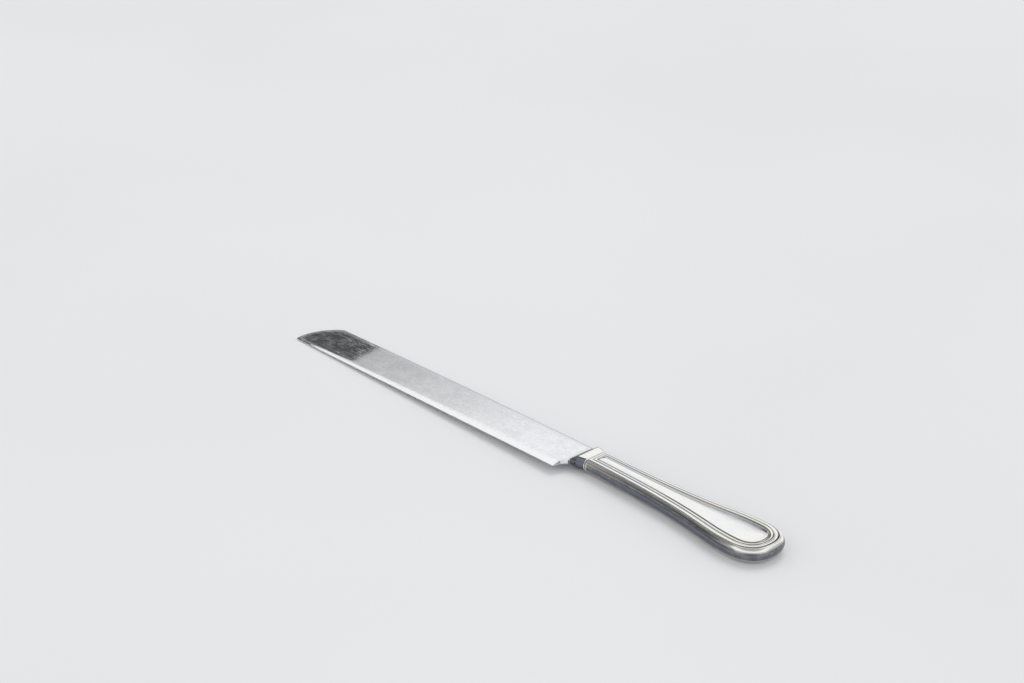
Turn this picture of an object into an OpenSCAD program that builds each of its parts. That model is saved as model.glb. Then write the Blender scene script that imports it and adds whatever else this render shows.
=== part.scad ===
// Cake knife with a hollow silver handle and a flat steel blade.
// The knife lies on its side: +X runs along the handle to the butt, the cutting edge is at -Y, +Z is up.
// The origin is the middle of the flat land under the handle, on which the knife rests.

/* [Blade] */
// Length of the blade from the collar to its foremost point
blade_len = 201; // [150:1:260]
// Width of the blade from the cutting edge to the back
blade_w = 24.6; // [20:0.2:34]
// Distance of the back of the blade from the axis of the handle
back_off = 6.8; // [5:0.1:8]
// How far the back bows out of straight
back_bow = 0.6; // [0.1:0.1:2]
// Thickness of the blade at the collar, and of its tang
blade_t = 2.0; // [1.4:0.1:2.4]
// Thickness of the blade at the tip
tip_t = 0.8; // [0.6:0.1:1.4]
// Width of the ground bevel where the blade is thickest
bevel_w = 4.3; // [2:0.1:8]
// Thickness left at the cutting edge
edge_t = 0.3; // [0.2:0.05:0.6]
// How far the rounded end runs back from the tip to the back of the blade
end_run = 9.9; // [4:0.1:14]
// How strongly the rounded end swells ahead of the tip
end_swell = 3.4; // [2:0.2:10]
// Distance from the collar to the heel of the cutting edge
heel_run = 2.3; // [1:0.1:6]
// Length of the straight stretch behind the heel, square to the axis
heel_side = 4.6; // [1:0.1:6]
// How far the root of the blade stands out past the near side of the collar
root_out = 1.3; // [0:0.1:2]

/* [Tang] */
// Length of the tang inside the handle
tang_len = 62; // [30:1:75]
// Width of the tang where it leaves the collar
tang_w = 7; // [5:0.1:8]
// Width of the tang at its end
tang_end_w = 4.6; // [3:0.1:5]

/* [Collar] */
// Length of the collar from the blade to the handle
collar_len = 8.7; // [6:0.1:14]
// Length of the slope at the front of the collar
slope_len = 3.5; // [2:0.1:5]
// Width of the collar's top face at its front edge
collar_w = 13.0; // [12:0.1:16]
// How much wider each side of the collar gets down the front slope
collar_flare = 0.4; // [0:0.1:1]
// Height of the collar's front face above and below the blade
lip = 0.25; // [0.1:0.05:0.5]
// How far the collar stands inside the handle's outline at the joint
collar_step = 0.55; // [0.2:0.05:1]
// Depth of the groove along the joint, on the collar's side
joint_groove = 0.4; // [0.2:0.05:0.6]
// Length of the spigot that seats in the mouth of the handle
spigot_len = 4; // [2:0.1:6]
// Wall of the spigot around the tang
spigot_wall = 0.8; // [0.6:0.1:1]
// Diameter of the vent hole in the near side of the collar
vent_d = 0.7; // [0.4:0.1:1]

/* [Handle] */
// Length of the handle from the joint to the end of the butt
handle_len = 110; // [90:1:150]
// Thickness of the handle over its two flat lands
handle_t = 8.5; // [8.2:0.1:12]
// Width of the top face at the neck
neck_w = 11.8; // [11:0.1:15]
// Width of the top face at the butt
butt_w = 25; // [18:0.2:34]
// Length of the rounded butt beyond the widest place
butt_round = 13.3; // [9:0.1:18]
// How far each side swells beyond the top face, at the seam
side_swell = 2; // [1:0.1:2.6]
// Wall of the stamped shells
wall = 0.8; // [0.5:0.05:1]
// Width of the seam between the two shells
seam = 0.1; // [0.04:0.02:0.2]

/* [Thread border] */
// Width of the border at the neck, from the rim to the deep groove
border_neck = 3.4; // [2.8:0.1:4]
// Width of the border at the butt
border_butt = 4.4; // [3:0.1:6]
// Height of the outer thread
outer_thread = 0.42; // [0.2:0.02:0.6]
// Height of the inner thread
inner_thread = 0.34; // [0.2:0.02:0.6]
// How far the rim lies below the flat land
rim_drop = 0.95; // [0.7:0.05:1.2]
// Rise of the crowned panel from its edge to its flat land
crown = 0.4; // [0.2:0.05:0.6]

/* [Fits] */
// Clearance between the tang and its slot, and between the spigot and the shells
fit = 0.1; // [0.05:0.01:0.2]
// Clearance between the filler and what it fills
fill_gap = 0.1; // [0.05:0.01:0.2]

/* [Hidden] */

silver = [0.86, 0.87, 0.88];
steel = [0.74, 0.76, 0.78];
cement = [0.55, 0.50, 0.44];

// Heights above the seam plane
land_z = handle_t / 2;
rim_z = land_z - rim_drop;
border_rise = 0.25;
groove_dip = 0.15;
groove_z = rim_z + border_rise - groove_dip;
panel_z = land_z - crown;

// Outline of the top face: a curve from the neck to the widest place, then a rounded butt.
// The reaches are shares of the length to the widest place at which the curve turns in and out.
butt_x = handle_len - side_swell - butt_round;
neck_rise = 0.27;
neck_reach = 0.77;
butt_reach = 0.78;
rim_side = [
    [0, neck_w / 2],
    [neck_reach * butt_x, neck_w / 2 + neck_rise],
    [butt_reach * butt_x, butt_w / 2],
    [butt_x, butt_w / 2]
];
butt_power = 2.3;
rim_corner = 0.5;
groove_corner = 1;

// Places across the border, as shares of its width, and across the panel, as shares of the way to its middle
thread_split = 0.54;
thread_end = 0.92;
panel_edge = 0.1;
land_edge = 0.55;
side_angle = 62;

// Where the wall turns inside the shell: under the rim, and half way down the side
ceiling_edge = 0.1;
cavity_side = 0.5;

// Rows of points in a shell's surface, and points along its outline: coarse ones inside, fine ones outside
side_rows = 6;
outer_rows = 6;
inner_rows = 5;
panel_rows = 4;
corner_steps = 4;
along_steps = [13, 26];
round_steps = [9, 14];

// How far a cut reaches past the solid that it opens
over = 1;

// The blade lies a little tip down, so that its end rests on the plane of the lower land
drop_angle = asin((land_z - tip_t / 2) / blade_len);

// The tang's slot leaves room for that slant along the collar and its spigot
slot_half = blade_t / 2 + fit + (collar_len + spigot_len) * sin(drop_angle);
spigot_half_z = slot_half + spigot_wall;
spigot_half_y = tang_w / 2 + fit + spigot_wall;

// The flat land's middle, which is the origin
land_front = border_neck + land_edge * (neck_w / 2 - border_neck);
land_back = handle_len - side_swell - border_butt - land_edge * (butt_w / 2 - border_butt);
land_mid = (land_front + land_back) / 2;

function mix(a, b, k) = a + (b - a) * k;

function curve(p, t) =
    pow(1 - t, 3) * p[0] + 3 * pow(1 - t, 2) * t * p[1] + 3 * (1 - t) * t * t * p[2] + pow(t, 3) * p[3];

function curve_way(p, t) =
    pow(1 - t, 2) * (p[1] - p[0]) + 2 * (1 - t) * t * (p[2] - p[1]) + t * t * (p[3] - p[2]);

// A point of the side curve, moved outward by out
function side_point(t, out) =
    let (way = curve_way(rim_side, t))
    curve(rim_side, t) + out * [-way.y, way.x] / norm(way);

function border_at(t) = mix(border_neck, border_butt, t);

// Half of a level's outline, from the corner of its front to the end of the butt. The level lies out
// beyond the rim, or the share u of the border inside it, and its front is at x = front or behind.
function half_level(out, u, front, fine) =
    let (
        x0 = front + u * border_neck,
        corner = mix(rim_corner, groove_corner, u),
        t0 = (x0 + corner) / (3 * rim_side[1].x),
        start = side_point(t0, out - u * border_at(t0)),
        along = along_steps[fine ? 1 : 0],
        around = round_steps[fine ? 1 : 0],
        reach = butt_round + out - u * border_butt,
        half = butt_w / 2 + out - u * border_butt
    )
    [
        for (i = [0 : corner_steps - 1]) let (a = 90 * i / corner_steps)
            [start.x - (start.x - x0) * cos(a), start.y - corner * (1 - sin(a))],
        for (i = [0 : along - 1]) let (t = mix(t0, 1, i / along))
            side_point(t, out - u * border_at(t)),
        for (i = [0 : around]) let (a = 90 * (1 - i / around))
            [butt_x + reach * pow(cos(a), 2 / butt_power), half * pow(sin(a), 2 / butt_power)]
    ];

// The whole outline of a level at height z: both halves, the second one the other way round
function level(out, u, z, front = 0, fine = true) =
    let (h = half_level(out, u, front, fine), n = len(h))
    [
        for (p = h) [p.x, p.y, z],
        for (i = [n - 2 : -1 : 0]) [h[i].x, -h[i].y, z]
    ];

// A level of the panel: the share v of the way from the deep groove to the middle line
function panel_level(v, z, front = 0, fine = true) =
    let (
        edge = level(0, 1, z, front, fine),
        x1 = front + neck_w / 2,
        x2 = butt_x + butt_round - butt_w / 2
    )
    [for (p = edge) mix(p, [min(max(p.x, x1), x2), 0, z], v)];

// How far the side stands out, and how high it is, at the share k of the way from the seam to the rim
function side_out(k) = side_swell * (cos(side_angle * k) - cos(side_angle)) / (1 - cos(side_angle));
function side_up(k, top) = top * sin(side_angle * k) / sin(side_angle);

// Height of the border at the share u: a slope that carries two round threads
function thread(u, a, b, h) = u > a && u < b ? h * sin(180 * (u - a) / (b - a)) : 0;
function border_up(u) =
    rim_z + border_rise * u + thread(u, 0, thread_split, outer_thread)
    + thread(u, thread_split, thread_end, inner_thread);

function panel_up(k) = land_z - crown * pow(1 - k, 2);

// The shell's outer surface, from the seam over the threads to the flat land
outer_surface = [
    level(side_out(0), 0, seam / 2),
    for (i = [1 : side_rows - 1]) level(side_out(i / side_rows), 0, side_up(i / side_rows, rim_z)),
    for (i = [0 : outer_rows]) let (u = thread_split * i / outer_rows) level(0, u, border_up(u)),
    for (i = [1 : inner_rows])
        let (u = mix(thread_split, thread_end, i / inner_rows)) level(0, u, border_up(u)),
    level(0, 1, groove_z),
    for (i = [0 : panel_rows])
        let (k = i / panel_rows) panel_level(mix(panel_edge, land_edge, k), panel_up(k))
];

// The cavity's surface, one wall inside, from its ceiling down to the seam. The gap is kept off it.
function cavity(gap, fine) =
    let (w = wall + gap)
    [
        panel_level(land_edge, land_z - w, w, fine),
        panel_level(panel_edge, panel_z - w, w, fine),
        level(-gap, 1, groove_z - w, w, fine),
        level(-w, ceiling_edge, rim_z - w, w, fine),
        level(side_out(cavity_side) - w, 0, side_up(cavity_side, rim_z - w), w, fine)
    ];

function cavity_seam(gap, z, fine) = level(side_swell - wall - gap, 0, z, wall + gap, fine);

function turned(loops) = [for (i = [len(loops) - 1 : -1 : 0]) loops[i]];
function mirrored(loops) = [for (l = loops) [for (p = l) [p.x, p.y, -p.z]]];

// A cap on a loop whose second half mirrors its first: a strip of triangles from side to side
function cap(first, n, back) =
    [
        for (i = [0 : ceil(n / 2) - 2])
            let (a = first + i, b = first + n - 1 - i)
            each [
                back ? [b, a + 1, a] : [a, a + 1, b],
                if (a + 1 < b - 1) back ? [b, b - 1, a + 1] : [a + 1, b - 1, b]
            ]
    ];

// A closed solid through a row of loops with the same number of points, capped at both ends
module skin(loops) {
    n = len(loops[0]);
    last = len(loops) - 1;
    polyhedron(
        points = [for (l = loops) each l],
        faces = [
            each cap(0, n, true),
            for (j = [0 : last - 1]) for (i = [0 : n - 1]) let (a = j * n + i, b = j * n + (i + 1) % n)
                each [[a, b, b + n], [a, b + n, a + n]],
            each cap(last * n, n, false)
        ],
        convexity = 6
    );
}

// Puts the handle's seam plane at its height, and the middle of the lower land at the origin
module placed() translate([-land_mid, 0, land_z]) children();

// Slants the blade and its tang about the front of the collar
module slanted() translate([-collar_len, 0, 0]) rotate([0, -drop_angle, 0]) children();

module stamped_shell() {
    difference() {
        skin(concat(cavity(0, true), [cavity_seam(0, seam / 2, true)], outer_surface));
        translate([-over, -spigot_half_y - fit, -spigot_half_z - fit])
            cube([wall + 2 * over, 2 * (spigot_half_y + fit), 2 * (spigot_half_z + fit)]);
    }
}

module upper_shell() {
    color(silver) placed() stamped_shell();
}

module lower_shell() {
    color(silver) placed() mirror([0, 0, 1]) stamped_shell();
}

// Blade, tang and heel seen from above, with the collar's front at x = 0
edge_y = back_off - blade_w;
collar_side = collar_w / 2 + collar_flare + side_swell;
root_y = -collar_side - root_out;
end_low = 0.6;
end_top = 0.87;
end_curve = [[0, 0], [-end_swell, end_low * blade_w], [end_top * end_run, blade_w], [end_run, blade_w]];
end_steps = 24;
end_points = [for (i = [0 : end_steps]) curve(end_curve, i / end_steps)];
end_reach = min([for (p = end_points) p.x]);
tip_x = -blade_len - end_reach;
back_steps = 12;
heel_bend = 2.2;
heel_flat = 0.25;
heel_curve = [
    [-heel_run, edge_y + heel_side],
    [-heel_run, root_y - heel_bend],
    [-heel_flat * heel_run, root_y],
    [0, root_y]
];
heel_steps = 8;

function tang_points(grow) = [
    [0, tang_w / 2 + grow],
    [collar_len, tang_w / 2 + grow],
    [collar_len + tang_len + grow, tang_end_w / 2 + grow],
    [collar_len + tang_len + grow, -tang_end_w / 2 - grow],
    [collar_len, -tang_w / 2 - grow],
    [0, -tang_w / 2 - grow]
];

module blade_plan() {
    polygon([
        [-heel_run, edge_y],
        for (p = end_points) [tip_x + p.x, edge_y + p.y],
        for (i = [1 : back_steps]) let (k = i / back_steps)
            [mix(tip_x + end_run, 0, k), back_off + back_bow * 4 * k * (1 - k)],
        each tang_points(0),
        for (i = [heel_steps : -1 : 0]) curve(heel_curve, i / heel_steps)
    ]);
}

// Seen from the side: even over the tang, and thinner towards the tip
module blade_side() {
    polygon([
        [-blade_len, -tip_t / 2],
        [0, -blade_t / 2],
        [collar_len + tang_len, -blade_t / 2],
        [collar_len + tang_len, blade_t / 2],
        [0, blade_t / 2],
        [-blade_len, tip_t / 2]
    ]);
}

// Seen along the blade: flat sides and a bevel ground on both sides of the cutting edge
module blade_section() {
    top_y = back_off + back_bow + over;
    polygon([
        [edge_y, -edge_t / 2],
        [edge_y + bevel_w, -blade_t / 2],
        [top_y, -blade_t / 2],
        [top_y, blade_t / 2],
        [edge_y + bevel_w, blade_t / 2],
        [edge_y, edge_t / 2]
    ]);
}

module blade() {
    color(steel) placed() slanted() intersection() {
        translate([0, 0, -blade_t]) linear_extrude(2 * blade_t) blade_plan();
        translate([0, blade_w, 0]) rotate([90, 0, 0]) linear_extrude(2 * blade_w) blade_side();
        translate([-blade_len - over, 0, 0]) rotate([90, 0, 90])
            linear_extrude(blade_len + collar_len + tang_len + 2 * over) blade_section();
    }
}

// A barrel-sided section of the collar at x, cut off flat at the share cut of its height
function collar_ring(x, half, height, cut = 1) =
    let (n = side_rows)
    [
        for (i = [n : -1 : -n]) let (k = cut * i / n) [x, half + side_out(abs(k)), side_up(k, height)],
        for (i = [-n : n]) let (k = cut * i / n) [x, -half - side_out(abs(k)), side_up(k, height)]
    ];

// The collar lies just under the rim of the handle, and its front face just clears the blade.
// Its vent hole is a little ahead of the end of the slope.
collar_drop = 0.1;
collar_z = rim_z - collar_drop;
joint_half = neck_w / 2 - collar_step;
front_cut = asin((blade_t / 2 + lip) * sin(side_angle) / collar_z) / side_angle;
vent_ahead = 0.6;
vent_deep = 4;

module collar_body() {
    skin([
        collar_ring(fit - collar_len, collar_w / 2 + collar_flare, collar_z, front_cut),
        collar_ring(slope_len - collar_len, collar_w / 2, collar_z),
        collar_ring(-joint_groove, joint_half, collar_z),
        collar_ring(0, joint_half - joint_groove, collar_z - joint_groove)
    ]);
}

module collar() {
    color(silver) placed() difference() {
        union() {
            collar_body();
            translate([-joint_groove, -spigot_half_y, -spigot_half_z])
                cube([joint_groove + spigot_len, 2 * spigot_half_y, 2 * spigot_half_z]);
        }
        translate([-collar_len - over, -tang_w / 2 - fit, -slot_half])
            cube([collar_len + spigot_len + 2 * over, tang_w + 2 * fit, 2 * slot_half]);
        translate([slope_len - vent_ahead - collar_len, -collar_side - over, 0])
            rotate([-90, 0, 0]) cylinder(d = vent_d, h = vent_deep, $fn = 24);
    }
}

module handle_filler() {
    half = cavity(fill_gap, false);
    color(cement) placed() difference() {
        skin(concat(mirrored(half), [cavity_seam(fill_gap, 0, false)], turned(half)));
        translate([-over, -spigot_half_y - fill_gap, -spigot_half_z - fill_gap])
            cube([
                spigot_len + fill_gap + over,
                2 * (spigot_half_y + fill_gap),
                2 * (spigot_half_z + fill_gap)
            ]);
        slanted() translate([0, 0, -blade_t / 2 - fill_gap])
            linear_extrude(blade_t + 2 * fill_gap) polygon(tang_points(fill_gap));
    }
}

blade();
collar();
upper_shell();
lower_shell();
handle_filler();
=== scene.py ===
"""Cake knife with a hollow, thread-bordered silver handle, a square collar and a flat steel blade.

The knife lies on its side. Its surfaces are worked out here with numpy from the sizes of the
part: the two stamped shells of the handle, the collar and the blade. Lengths are millimetres
until a surface is put into its mesh, which is in metres.
"""

import math

import bmesh
import bpy
import numpy as np
from mathutils import Matrix, Vector


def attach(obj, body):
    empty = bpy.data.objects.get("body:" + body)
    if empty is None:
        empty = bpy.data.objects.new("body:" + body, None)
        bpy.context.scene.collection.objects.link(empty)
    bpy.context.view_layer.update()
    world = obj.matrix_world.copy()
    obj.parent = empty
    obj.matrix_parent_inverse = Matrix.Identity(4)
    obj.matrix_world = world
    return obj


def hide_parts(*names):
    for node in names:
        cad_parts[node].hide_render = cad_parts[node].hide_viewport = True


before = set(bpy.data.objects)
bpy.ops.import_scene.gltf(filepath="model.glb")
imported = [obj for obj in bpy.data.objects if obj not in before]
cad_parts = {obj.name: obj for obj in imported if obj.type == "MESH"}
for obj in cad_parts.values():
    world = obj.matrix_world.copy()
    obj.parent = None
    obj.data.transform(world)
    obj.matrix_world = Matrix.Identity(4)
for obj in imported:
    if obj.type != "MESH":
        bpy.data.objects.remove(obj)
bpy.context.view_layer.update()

MM = 0.001

# Sizes of the knife

# Blade: length, width, and thickness at the collar and at the tip
blade_len, blade_w, blade_t, tip_t = 201.0, 24.6, 2.0, 0.8
# Its back: distance from the handle's axis, and how far it bows out
back_off, back_bow = 6.8, 0.6
# Its bevel: width, thickness left at the edge, and how softly it runs into the flat
bevel_w, edge_t, bevel_blend = 4.3, 0.3, 0.07
# Rounding of its rim, and the largest share of half the thickness that it takes
edge_round, round_share = 0.2, 0.7
# Its end: how far it runs back, how far it swells, and the shares at which its curve bends
end_run, end_swell, end_low, end_top = 9.9, 3.4, 0.6, 0.87
# Its heel: distance from the collar, straight step, and bend and flat of the curve to the root
heel_run, heel_side, heel_bend, heel_flat = 2.3, 4.6, 2.2, 0.25
# How far its root stands out past the near side of the collar
root_out = 1.3
# Tang: length, width at the collar and width at its end
tang_len, tang_w, tang_end_w = 62.0, 7.0, 4.6
# Collar: length, length of its slope, width, flare down the slope, and lip above and below the blade
collar_len, slope_len, collar_w, collar_flare, lip = 8.7, 3.5, 13.0, 0.4, 0.25
# Its joint: how far it stands inside the handle's sides and below its rim, and depth of the groove
collar_step, collar_drop, joint_groove = 0.55, 0.1, 0.4
# Places of its step, its bead and its groove, and how far the step and the bead stand out
step_x, bead_x, groove_x, step_out, bead_out = -1.3, -0.85, -0.45, 0.12, 0.42
# Its spigot: length and wall
spigot_len, spigot_wall = 4.0, 0.8
# Its vent hole: diameter, distance ahead of the slope's end, and depth
vent_d, vent_ahead, vent_dimple = 0.7, 0.6, 1.2
# Handle: length, thickness, width of its top face at neck and butt, and length of the round butt
handle_len, handle_t, neck_w, butt_w, butt_round = 110.0, 8.5, 11.8, 25.0, 13.3
# Its shells: swell of the sides, wall, width of the seam, and clearance of what fits in them
side_swell, wall, seam, fit = 2.0, 0.8, 0.1, 0.1
# Angle of the round arc of its sides, from seam to rim
side_angle = math.radians(62)
# Its outline: rise near the neck, shares of the length at which the side curves, power of the butt
neck_rise, neck_reach, butt_reach, butt_power = 0.27, 0.77, 0.78, 2.3
# Front corners of its outline, at the rim and at the deep groove
rim_corner, groove_corner = 0.5, 1.0
# Border: width at the neck and at the butt
border_neck, border_butt = 3.4, 4.4
# Its heights: the outer and the inner thread, the rise of its slope, and the deep groove's dip
outer_thread, inner_thread, border_rise, groove_dip = 0.42, 0.34, 0.25, 0.15
# Shares of its width at which the outer thread and the inner one end
thread_split, thread_end = 0.54, 0.92
# Power of the wave that forms a thread: below 1 it is fuller than a sine wave
thread_power = 0.6
# Panel: height of its top above the rim, and how far it rises from its edge in the part and here
rim_drop, crown, dome = 0.95, 0.4, 0.52
# Shares of the way from the deep groove to its middle: end of the shoulder, and start of the land
panel_edge, land_edge = 0.1, 0.55

# Heights above the seam plane, and places along the handle from its joint with the collar

land_z = handle_t / 2
rim_z = land_z - rim_drop
groove_z = rim_z + border_rise - groove_dip
panel_z = land_z - crown
butt_x = handle_len - side_swell - butt_round
land_front = border_neck + land_edge * (neck_w / 2 - border_neck)
land_back = handle_len - side_swell - border_butt - land_edge * (butt_w / 2 - border_butt)
land_mid = (land_front + land_back) / 2

# The angle by which the blade falls, so that its end rests on the plane of the lower land

drop_angle = math.asin((land_z - tip_t / 2) / blade_len)

# Side of the top face: control points of its curve from the neck to the widest place

rim_side = np.array(
    [
        [0, neck_w / 2],
        [neck_reach * butt_x, neck_w / 2 + neck_rise],
        [butt_reach * butt_x, butt_w / 2],
        [butt_x, butt_w / 2],
    ]
)

# Stretches of the handle over which its finish changes, from its joint with the collar

joint_dirt = 0.22
# The side film, whose colour is a painted dark reflection, starts here, behind the front corner
film_front = (0.5, 0.75)
neck_haze = (4, 26)
# Where a painted lighter streak thins the film on the neck
neck_film = (5, 40)
butt_warmth = (45, 95)
# Where the film thins at the butt into a painted lighter band
butt_film = (82, 95)


# Helpers for curves and meshes


def mix(a, b, k):
    """The value at the share k of the way from a to b."""
    return a + (b - a) * k


def smooth_step(a, b, x):
    """Rises from 0 at a to 1 at b, level at both ends."""
    k = np.clip((x - a) / (b - a), 0, 1)
    return k * k * (3 - 2 * k)


def bump_at(x, centre, width):
    """A bell of height 1 about centre: e to the minus squared distance over squared width."""
    return np.exp(-(((x - centre) / width) ** 2))


def cubic(p, t):
    """Points of the cubic curve with the four control points p, at the shares t of its way."""
    t = np.asarray(t, float)[..., None]
    s = 1 - t
    return s**3 * p[0] + 3 * s**2 * t * p[1] + 3 * s * t**2 * p[2] + t**3 * p[3]


def cubic_way(p, t):
    """A third of the cubic curve's direction at the shares t."""
    t = np.asarray(t, float)[..., None]
    return (1 - t) ** 2 * (p[1] - p[0]) + 2 * (1 - t) * t * (p[2] - p[1]) + t * t * (p[3] - p[2])


def clustered(stops, counts):
    """Values from stop to stop, closer together at each stop: a half cosine wave per stretch."""
    parts = []
    for a, b, n in zip(stops[:-1], stops[1:], counts):
        parts.append(mix(a, b, (1 - np.cos(np.pi * np.arange(n) / n)) / 2))
    return np.concatenate(parts + [[stops[-1]]])


def grid_quads(rows, columns, closed=False):
    """Four-sided faces between neighbouring rows and columns of a grid of points."""
    r = np.arange(rows - 1)[:, None] * columns
    c = np.arange(columns if closed else columns - 1)[None, :]
    d = (c + 1) % columns
    return np.stack([r + c, r + d, r + columns + d, r + columns + c], -1).reshape(-1, 4)


def strip_cap(first, n, turned):
    """Closes a loop of n points whose second half mirrors its first, with quads from side to side."""
    i = np.arange((n + 1) // 2 - 1)
    a, b = first + 1 + i, first + n - 1 - i
    keep = a + 1 < b
    quads = np.stack([a, a + 1, b - 1, b], -1)[keep]
    ends = np.array([[first, first + 1, first + n - 1]])
    return (quads[:, ::-1], ends[:, ::-1]) if turned else (quads, ends)


def in_part_frame(points):
    """Moves points from the handle's own frame to the part's frame."""
    return points + np.array([-land_mid, 0, land_z])


def slanted(points):
    """Turns points of the blade about the front of the collar by the angle of its fall."""
    c, s = math.cos(drop_angle), math.sin(drop_angle)
    x = points[..., 0] * c - points[..., 2] * s - collar_len
    z = points[..., 0] * s + points[..., 2] * c
    return np.stack([x, points[..., 1], z], -1)


def put_piece(name, points, quads, triangles, marks, crease=38):
    """Makes a closed mesh of points in millimetres, with its faces outward.

    The marks become attributes, one value per point. Edges sharper than crease degrees stay sharp.
    """
    quads = np.asarray(quads, np.int64).reshape(-1, 4)
    triangles = np.asarray(triangles, np.int64).reshape(-1, 3)
    mesh = bpy.data.meshes.new(name)
    mesh.vertices.add(len(points))
    mesh.vertices.foreach_set("co", (in_part_frame(points) * MM).astype(np.float32).ravel())
    loops = np.concatenate([quads.ravel(), triangles.ravel()])
    sizes = np.concatenate([np.full(len(quads), 4), np.full(len(triangles), 3)])
    mesh.loops.add(len(loops))
    mesh.loops.foreach_set("vertex_index", loops.astype(np.int32))
    mesh.polygons.add(len(sizes))
    mesh.polygons.foreach_set("loop_start", (np.cumsum(sizes) - sizes).astype(np.int32))
    mesh.update(calc_edges=True)
    for mark, values in marks.items():
        layer = mesh.attributes.new(mark, "FLOAT", "POINT")
        layer.data.foreach_set("value", np.asarray(values, np.float32))
    mesh.validate()
    shape = bmesh.new()
    shape.from_mesh(mesh)
    bmesh.ops.recalc_face_normals(shape, faces=shape.faces[:])
    shape.to_mesh(mesh)
    shape.free()
    mesh.shade_smooth()
    mesh.set_sharp_from_angle(angle=math.radians(crease))
    piece = bpy.data.objects.new(name, mesh)
    bpy.context.scene.collection.objects.link(piece)
    return piece


# The handle

# Points along a level's outline, and rows of levels up the side, over the border and over the panel
corner_points, side_points, butt_points = 10, 150, 76
side_rows, outer_rows, inner_rows = 24, 26, 22
groove_rows, shoulder_rows, dome_rows = 6, 10, 29
# Share of the way to the middle line at which the panel's last row lies
panel_last = 0.985
# Where the cavity turns: a share of the border's width, and a share of the way from seam to rim
ceiling_edge, cavity_side = 0.1, 0.5


def side_point(t, out):
    """A point of the handle's side curve, moved outward by out along the curve's normal."""
    way = cubic_way(rim_side, t)
    normal = np.stack([-way[..., 1], way[..., 0]], -1) / np.linalg.norm(way, axis=-1)[..., None]
    return cubic(rim_side, t) + np.asarray(out)[..., None] * normal


def level(out, u, front=0.0):
    """The outline of one level of the handle, seen from above.

    A small round corner at the neck, the side curve moved outward by out less the share u of the
    border's width, and a butt of the form (x/a)^p + (y/b)^p = 1; then the same on the other side.
    """
    x0 = front + u * border_neck
    corner = mix(rim_corner, groove_corner, u)
    # Near its start the curve's place is the share times three times its first control length
    t0 = (x0 + corner) / (3 * rim_side[1, 0])
    t = mix(t0, 1, np.arange(side_points) / side_points)
    side = side_point(t, out - u * mix(border_neck, border_butt, t))
    a = np.pi / 2 * np.arange(corner_points) / corner_points
    start = side[0]
    nose = np.stack([start[0] - (start[0] - x0) * np.cos(a), start[1] - corner * (1 - np.sin(a))], -1)
    b = np.pi / 2 * (1 - np.arange(butt_points + 1) / butt_points)
    reach = butt_round + out - u * border_butt
    half = butt_w / 2 + out - u * border_butt
    cos_b, sin_b = np.clip(np.cos(b), 0, 1), np.clip(np.sin(b), 0, 1)
    butt = np.stack([butt_x + reach * cos_b ** (2 / butt_power), half * sin_b ** (2 / butt_power)], -1)
    near = np.concatenate([nose, side, butt])
    return np.concatenate([near, near[-2::-1] * [1, -1]])


def level_at(out, u, z, front=0.0):
    """The level's outline at the height z."""
    flat = level(out, u, front)
    return np.column_stack([flat, np.full(len(flat), z)])


def panel_level(v, z, front=0.0):
    """The share v of the way from the deep groove to the handle's middle line, at the height z."""
    edge = level(0, 1, front)
    middle_x = np.clip(edge[:, 0], front + neck_w / 2, butt_x + butt_round - butt_w / 2)
    flat = mix(edge, np.column_stack([middle_x, np.zeros(len(edge))]), v)
    return np.column_stack([flat, np.full(len(flat), z)])


def side_out(k):
    """How far the barrel side, a round arc, stands out at the share k of the way from seam to rim."""
    return side_swell * (np.cos(side_angle * k) - math.cos(side_angle)) / (1 - math.cos(side_angle))


def side_up(k, top):
    """How high the barrel side is at the share k, when its rim is at top."""
    return top * np.sin(side_angle * k) / math.sin(side_angle)


def thread(u, a, b, height):
    """A round thread between the shares a and b: half a sine wave, raised to its power."""
    k = np.clip((u - a) / (b - a), 0, 1)
    return height * np.clip(np.sin(np.pi * k), 0, 1) ** thread_power


def border_up(u):
    """Height of the border: a gentle slope that carries the outer and the inner thread."""
    outer = thread(u, 0, thread_split, outer_thread)
    inner = thread(u, thread_split, thread_end, inner_thread)
    return rim_z + border_rise * u + outer + inner


def panel_up(v):
    """Height of the panel: a steep round shoulder out of the deep groove, then a shallow dome."""
    shoulder = mix(groove_z, land_z - dome, np.sin(np.pi / 2 * np.clip(v / panel_edge, 0, 1)))
    k = np.clip((v - panel_edge) / (1 - panel_edge), 0, 1)
    return shoulder + dome * (1 - (1 - k) ** 2)


def side_finish(k, x):
    """Dirt, painted reflection film and haze of the side at the share k of the way from seam to rim, at the
    places x.

    Dirt lies in the seam and a little under the rim. The film, whose colour is a painted dark
    reflection, is full near the seam and thins out towards the rim, sooner at the butt, which leaves a
    painted lighter band there, and a painted lighter streak thins it on the neck. Haze lies on the neck
    and in a fine line under the rim.
    """
    near_butt = smooth_step(*butt_film, x)
    near_neck = 1 - smooth_step(*neck_film, x)
    dirt = 0.2 * bump_at(k, 1.0, 0.1) + 0.5 * bump_at(k, 0.0, 0.03)
    full_below, gone_above = mix(0.22, 0.3, near_butt), mix(1.0, 0.66, near_butt)
    film = 1 - smooth_step(full_below, gone_above, k)
    # A painted lighter streak on the neck, and a little less film at the butt
    rubbed = (1 - 0.12 * near_butt) * (1 - 0.4 * near_neck * bump_at(k, 0.5, 0.3))
    on_neck = bump_at(k, 0.8, 0.3) * (1 - smooth_step(*neck_haze, x))
    under_rim = 0.8 * bump_at(k, 0.96, 0.07)
    return dirt, film * rubbed, np.maximum(on_neck, under_rim)


def border_dirt(u):
    """Dirt of the border: a little at the rim, more between the threads, most at the deep groove."""
    at_rim = 0.4 * bump_at(u, 0, 0.02)
    between = 0.5 * bump_at(u, thread_split, 0.025)
    return at_rim + between + 0.9 * smooth_step(thread_end - 0.03, thread_end + 0.02, u)


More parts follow.
